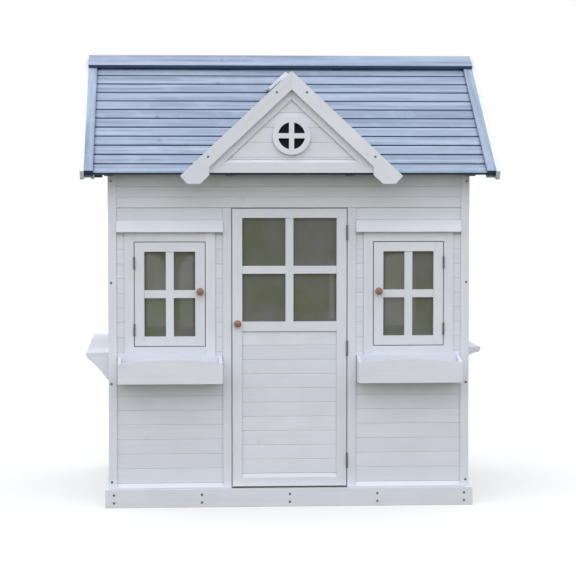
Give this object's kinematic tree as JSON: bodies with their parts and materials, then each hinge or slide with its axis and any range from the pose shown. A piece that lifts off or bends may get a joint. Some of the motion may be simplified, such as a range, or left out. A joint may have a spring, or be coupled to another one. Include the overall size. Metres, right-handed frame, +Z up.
{
  "type": "playhouse",
  "caption": "Child's cottage playhouse in painted timber: boarded walls, hinged half-glazed door and casement windows, planter boxes, side shelves, slatted roof and a front gable.",
  "frame": {"origin": "centre of the base on the ground", "axes": "+Z up, the door faces -Y, +X is to the right as one looks at the door"},
  "size_m": [1.376, 1.2287, 1.5238],
  "materials": {
    "white_paint": "satin white paint on softwood, with the grain and fine brush marks just showing",
    "blue_stain": "thin blue-grey stain on softwood, streaked grain and knots showing",
    "bare_pine": "planed bare softwood, matte",
    "turned_wood": "turned hardwood with clear lacquer",
    "clear_acrylic": "smoke-tinted acrylic sheet, which shows little of the inside",
    "zinc_steel": "darkened zinc-plated steel",
    "dark_panel": "matte near-black painted panel",
    "catch_plastic": "moulded off-white plastic catch body"
  },
  "bodies": {
    "house": {"back_roof_slats": "blue_stain", "back_wall_boards": "white_paint", "back_wall_frame": "white_paint", "back_window_arch_heads": "white_paint", "barge_boards": "white_paint", "base_rim_boards": "white_paint", "base_screws": "zinc_steel", "door_and_window_stops": "white_paint", "door_jamb_hinge_leaves": "zinc_steel", "floor_boards": "bare_pine", "floor_joists": "bare_pine", "front_boards_left": "white_paint", "front_boards_right": "white_paint", "front_roof_slats": "blue_stain", "front_wall_frame": "white_paint", "gable_boards": "white_paint", "gable_cap_boards": "white_paint", "gable_inner_frame": "white_paint", "gable_rake_boards": "white_paint", "gable_supports": "white_paint", "hinge_pins": "zinc_steel", "left_planter_box": "white_paint", "left_shelf": "white_paint", "left_wall_boards": "white_paint", "left_wall_frame": "white_paint", "lintel_boards": "white_paint", "magnetic_catches": "catch_plastic", "rafters": "blue_stain", "ridge_beam": "blue_stain", "ridge_cap_boards": "blue_stain", "right_planter_box": "white_paint", "right_shelf": "white_paint", "right_wall_boards": "white_paint", "right_wall_frame": "white_paint", "roof_cover_strips": "blue_stain", "round_window": "white_paint", "round_window_backing": "dark_panel", "shelf_brackets": "white_paint", "wall_screws": "zinc_steel", "window_casings": "white_paint", "window_header_ledges": "white_paint", "window_jamb_hinge_leaves": "zinc_steel"},
    "door": {"door_boards": "white_paint", "door_frame": "white_paint", "door_glazing_bars": "white_paint", "door_hinge_leaves": "zinc_steel", "door_knob": "turned_wood", "door_pane": "clear_acrylic", "door_strike_plate": "zinc_steel"},
    "left_window": {"left_window_sash": "white_paint", "left_window_pane": "clear_acrylic", "left_window_knob": "turned_wood", "left_window_hinge_leaves": "zinc_steel", "left_window_strike_plate": "zinc_steel"},
    "right_window": {"right_window_sash": "white_paint", "right_window_pane": "clear_acrylic", "right_window_knob": "turned_wood", "right_window_hinge_leaves": "zinc_steel", "right_window_strike_plate": "zinc_steel"}
  },
  "joints": [
    {"name": "door_hinge", "type": "hinge", "parent": "house", "child": "door", "pos_m": [0.1915, -0.5083, 0.525], "axis": [0, 0, 1], "range_deg": [0, 105]},
    {"name": "left_window_hinge", "type": "hinge", "parent": "house", "child": "left_window", "pos_m": [-0.51375, -0.5103, 0.7], "axis": [0, 0, -1], "range_deg": [0, 170]},
    {"name": "right_window_hinge", "type": "hinge", "parent": "house", "child": "right_window", "pos_m": [0.51375, -0.5103, 0.7], "axis": [0, 0, 1], "range_deg": [0, 170]}
  ]
}
